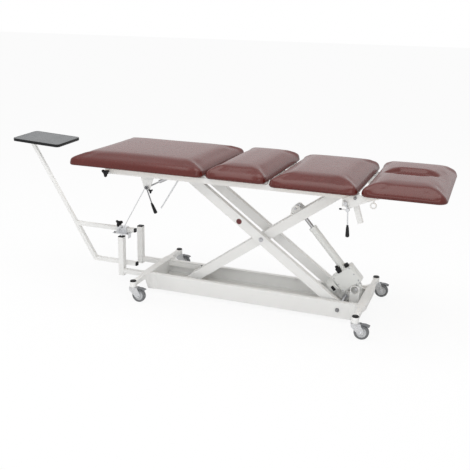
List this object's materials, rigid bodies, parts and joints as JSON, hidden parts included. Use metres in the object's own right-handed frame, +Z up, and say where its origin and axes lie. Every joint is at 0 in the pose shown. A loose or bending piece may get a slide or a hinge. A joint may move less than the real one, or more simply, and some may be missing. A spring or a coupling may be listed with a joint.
{
  "type": "treatment table",
  "caption": "Padded sectioned treatment table on a scissor lift with casters, a tilting head and foot section and a traction stand with a shelf.",
  "frame": {"origin": "middle of the whole object's footprint, on the floor", "axes": "+X towards the head end, +Z up, the release levers on the -Y side"},
  "size_m": [2.447, 0.686, 0.8051],
  "materials": {
    "white_frame": "satin white powder coat",
    "zinc": "zinc plated",
    "steel_shaft": "turned steel",
    "vinyl": "burgundy upholstery vinyl, soft sheen",
    "plywood": "sanded plywood",
    "black_plastic": "moulded black plastic",
    "nylon": "pale nylon",
    "caster_tread": "grey thermoplastic rubber with a paler hub",
    "pedal": "grey plastic",
    "shelf_laminate": "grey laminate with a black edge",
    "cast_housing": "light grey paint",
    "chrome_rod": "polished"
  },
  "bodies": {
    "base": {"base_rails": "white_frame", "base_floor": "white_frame", "cross_leg_head": "white_frame", "cross_leg_foot": "white_frame", "base_end_caps": "black_plastic", "lower_pivot_shaft": "steel_shaft", "actuator_bracket": "white_frame", "stand_posts": "white_frame", "stand_clamp": "zinc"},
    "stand": {"stand_frame": "white_frame", "stand_end_caps": "black_plastic", "instrument_shelf": "shelf_laminate"},
    "stand_knob": {"stand_clamp_knob": "black_plastic"},
    "outer_arms": {"outer_arms": "white_frame", "outer_arm_shafts": "steel_shaft"},
    "upper_rollers": {"upper_rollers": "nylon"},
    "inner_arms": {"inner_arms": "white_frame", "actuator_ears": "white_frame", "lower_roller_shaft": "steel_shaft", "rod_end_pin": "steel_shaft"},
    "lower_rollers": {"lower_rollers": "nylon"},
    "screw_rod": {"actuator_rod": "chrome_rod"},
    "screw_body": {"actuator_tube": "cast_housing", "actuator_housing": "cast_housing", "actuator_motor": "cast_housing"},
    "top": {"frame_side_rails": "white_frame", "roller_channels": "white_frame", "frame_cross_bars": "white_frame", "upper_pivot_shaft": "steel_shaft", "chest_board": "plywood", "chest_cushion": "vinyl", "accessory_socket": "white_frame", "head_pivot_bolts": "steel_shaft"},
    "rail_knob": {"rail_lock_knob": "black_plastic"},
    "carriage": {"carriage_frame": "white_frame", "pelvic_board": "plywood", "pelvic_cushion": "vinyl", "hanging_rods": "zinc"},
    "foot_section": {"foot_frame": "white_frame", "foot_board": "plywood", "foot_cushion": "vinyl"},
    "foot_spring_rod": {"foot_spring_rod": "chrome_rod"},
    "foot_spring_cylinder": {"foot_spring_cylinder": "steel_shaft"},
    "foot_lever": {"foot_release_lever": "zinc"},
    "head_section": {"head_frame": "white_frame", "head_board": "plywood", "head_cushion": "vinyl"},
    "head_lever": {"head_release_lever": "zinc"},
    "caster_1_fork": {"caster_1_fork": "zinc"},
    "caster_1_wheel": {"caster_1_wheel": "caster_tread"},
    "caster_1_pedal": {"caster_1_pedal": "pedal"},
    "caster_2_fork": {"caster_2_fork": "zinc"},
    "caster_2_wheel": {"caster_2_wheel": "caster_tread"},
    "caster_2_pedal": {"caster_2_pedal": "pedal"},
    "caster_3_fork": {"caster_3_fork": "zinc"},
    "caster_3_wheel": {"caster_3_wheel": "caster_tread"},
    "caster_3_pedal": {"caster_3_pedal": "pedal"},
    "caster_4_fork": {"caster_4_fork": "zinc"},
    "caster_4_wheel": {"caster_4_wheel": "caster_tread"},
    "caster_4_pedal": {"caster_4_pedal": "pedal"}
  },
  "joints": [
    {"name": "lift", "type": "hinge", "parent": "base", "child": "outer_arms", "pos_m": [0.727, 0, 0.062], "axis": [0, 1, 0], "range_deg": [-15.65, 9.35]},
    {"name": "inner_arms_turn", "type": "hinge", "parent": "outer_arms", "child": "inner_arms", "pos_m": [0.292, 0, 0.374], "axis": [0, 1, 0], "range_deg": [-19.2, 31.8]},
    {"name": "top_level", "type": "hinge", "parent": "inner_arms", "child": "top", "pos_m": [0.727, 0, 0.686], "axis": [0, 1, 0], "range_deg": [-16.15, 9.85]},
    {"name": "upper_rollers_spin", "type": "hinge", "parent": "outer_arms", "child": "upper_rollers", "pos_m": [-0.143, 0, 0.686], "axis": [0, 1, 0], "continuous": true},
    {"name": "lower_rollers_spin", "type": "hinge", "parent": "inner_arms", "child": "lower_rollers", "pos_m": [-0.143, 0, 0.062], "axis": [0, 1, 0], "continuous": true},
    {"name": "screw_turn", "type": "hinge", "parent": "inner_arms", "child": "screw_rod", "pos_m": [0.4543, 0, 0.54578], "axis": [0, 1, 0], "range_deg": [-32.5, 19.62]},
    {"name": "screw_extend", "type": "slide", "parent": "screw_rod", "child": "screw_body", "axis": [0.6626, 0, -0.749], "range_m": [-0.094, 0.057]},
    {"name": "carriage_glide", "type": "slide", "parent": "top", "child": "carriage", "axis": [-1, 0, 0], "range_m": [0, 0.125]},
    {"name": "foot_tilt", "type": "hinge", "parent": "carriage", "child": "foot_section", "pos_m": [0.053, 0, 0.736], "axis": [0, 1, 0], "range_deg": [0, 20]},
    {"name": "foot_lever_turn", "type": "hinge", "parent": "carriage", "child": "foot_lever", "pos_m": [-0.314, 0, 0.618], "axis": [0, 1, 0], "range_deg": [0, 15], "stiffness_Nm_per_rad": 1.5, "springref_deg": -17.19},
    {"name": "head_tilt", "type": "hinge", "parent": "top", "child": "head_section", "pos_m": [0.805, 0, 0.698], "axis": [0, 1, 0], "range_deg": [-12, 22]},
    {"name": "head_lever_turn", "type": "hinge", "parent": "top", "child": "head_lever", "pos_m": [0.7608, 0, 0.6693], "axis": [0, 1, 0], "range_deg": [0, 15], "stiffness_Nm_per_rad": 1.5, "springref_deg": -17.19},
    {"name": "rail_knob_turn", "type": "hinge", "parent": "top", "child": "rail_knob", "pos_m": [-0.5, 0, 0.7], "axis": [0, -1, 0], "continuous": true},
    {"name": "stand_slide", "type": "slide", "parent": "base", "child": "stand", "axis": [-1, 0, 0], "range_m": [0, 0.08]},
    {"name": "stand_knob_turn", "type": "hinge", "parent": "base", "child": "stand_knob", "pos_m": [-0.533, -0.098, 0.34], "axis": [0, -0.7071, 0.7071], "continuous": true},
    {"name": "foot_spring_turn", "type": "hinge", "parent": "carriage", "child": "foot_spring_rod", "pos_m": [-0.314, 0, 0.618], "axis": [0, -1, 0], "range_deg": [-0.5, 14.64]},
    {"name": "foot_spring_extend", "type": "slide", "parent": "foot_spring_rod", "child": "foot_spring_cylinder", "axis": [0.8895, 0, 0.457], "range_m": [-0.002, 0.038]},
    {"name": "caster_1_swivel", "type": "hinge", "parent": "base", "child": "caster_1_fork", "pos_m": [0.851, -0.3, 0.082], "axis": [0, 0, 1], "continuous": true},
    {"name": "caster_1_roll", "type": "hinge", "parent": "caster_1_fork", "child": "caster_1_wheel", "pos_m": [0.885, -0.3, 0.0375], "axis": [0, 1, 0], "continuous": true},
    {"name": "caster_1_brake", "type": "hinge", "parent": "caster_1_fork", "child": "caster_1_pedal", "pos_m": [0.878, -0.3, 0.0782], "axis": [0, 1, 0], "range_deg": [0, 7]},
    {"name": "caster_2_swivel", "type": "hinge", "parent": "base", "child": "caster_2_fork", "pos_m": [0.851, 0.3, 0.082], "axis": [0, 0, 1], "continuous": true},
    {"name": "caster_2_roll", "type": "hinge", "parent": "caster_2_fork", "child": "caster_2_wheel", "pos_m": [0.885, 0.3, 0.0375], "axis": [0, 1, 0], "continuous": true},
    {"name": "caster_2_brake", "type": "hinge", "parent": "caster_2_fork", "child": "caster_2_pedal", "pos_m": [0.878, 0.3, 0.0782], "axis": [0, 1, 0], "range_deg": [0, 7]},
    {"name": "caster_3_swivel", "type": "hinge", "parent": "base", "child": "caster_3_fork", "pos_m": [-0.36, -0.3, 0.082], "axis": [0, 0, 1], "continuous": true},
    {"name": "caster_3_roll", "type": "hinge", "parent": "caster_3_fork", "child": "caster_3_wheel", "pos_m": [-0.326, -0.3, 0.0375], "axis": [0, 1, 0], "continuous": true},
    {"name": "caster_3_brake", "type": "hinge", "parent": "caster_3_fork", "child": "caster_3_pedal", "pos_m": [-0.333, -0.3, 0.0782], "axis": [0, 1, 0], "range_deg": [0, 7]},
    {"name": "caster_4_swivel", "type": "hinge", "parent": "base", "child": "caster_4_fork", "pos_m": [-0.36, 0.3, 0.082], "axis": [0, 0, 1], "continuous": true},
    {"name": "caster_4_roll", "type": "hinge", "parent": "caster_4_fork", "child": "caster_4_wheel", "pos_m": [-0.326, 0.3, 0.0375], "axis": [0, 1, 0], "continuous": true},
    {"name": "caster_4_brake", "type": "hinge", "parent": "caster_4_fork", "child": "caster_4_pedal", "pos_m": [-0.333, 0.3, 0.0782], "axis": [0, 1, 0], "range_deg": [0, 7]}
  ],
  "couplings": [
    {"joint": "inner_arms_turn", "follows": "lift", "ratio": -2},
    {"joint": "top_level", "follows": "lift", "ratio": 1},
    {"joint": "screw_turn", "follows": "lift", "ratio": 2.045},
    {"joint": "screw_extend", "follows": "lift", "m_per_rad": 0.34},
    {"joint": "foot_spring_turn", "follows": "foot_tilt", "ratio": 0.707},
    {"joint": "foot_spring_extend", "follows": "foot_tilt", "m_per_rad": 0.1032}
  ]
}
